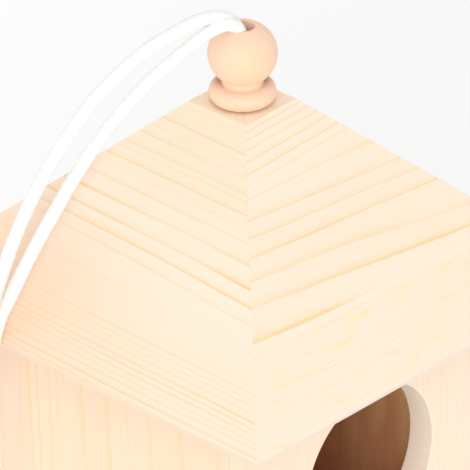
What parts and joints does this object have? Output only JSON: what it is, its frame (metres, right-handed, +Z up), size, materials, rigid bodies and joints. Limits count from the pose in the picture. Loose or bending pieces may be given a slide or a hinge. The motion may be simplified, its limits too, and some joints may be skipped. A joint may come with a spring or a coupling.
{
  "type": "birdhouse",
  "caption": "Hanging wooden birdhouse: square box with a round entrance, mitred four-panel hip roof with a turned knob and cord loop, and a swinging clean-out cover under the floor.",
  "frame": {"origin": "centre of the square standing rim under the walls, without the cord loop", "axes": "+Z up, -Y out through the round entrance, -X towards the side that the cord loop hangs over"},
  "size_m": [0.1711, 0.15, 0.206],
  "materials": {
    "pine_roof": "raw planed pine with orange growth rings",
    "pine_wall": "raw planed pine with upright grain",
    "pine_inside": "raw sawn pine",
    "pine_cover": "raw planed pine",
    "beech": "turned and sanded, unvarnished",
    "cotton": "soft white braided cotton",
    "steel": "bright zinc-plated"
  },
  "bodies": {
    "house": {"roof_panel_front": "pine_roof", "roof_panel_right": "pine_roof", "roof_panel_back": "pine_roof", "roof_panel_left": "pine_roof", "front_wall": "pine_wall", "back_wall": "pine_wall", "left_wall": "pine_wall", "right_wall": "pine_wall", "floor_panel": "pine_inside", "front_corner_brads": "steel", "back_corner_brads": "steel", "floor_brads": "steel", "knob": "beech", "apex_block": "pine_inside", "knot_washer": "beech", "cord_knot": "cotton", "hanging_cord": "cotton", "cover_washer": "steel", "cover_screw": "steel"},
    "cover": {"cleanout_cover": "pine_cover"}
  },
  "joints": [
    {"name": "cover_swing", "type": "hinge", "parent": "house", "child": "cover", "pos_m": [-0.0115, -0.0115, 0.0072], "axis": [0, 0, 1], "range_deg": [0, 108]}
  ]
}
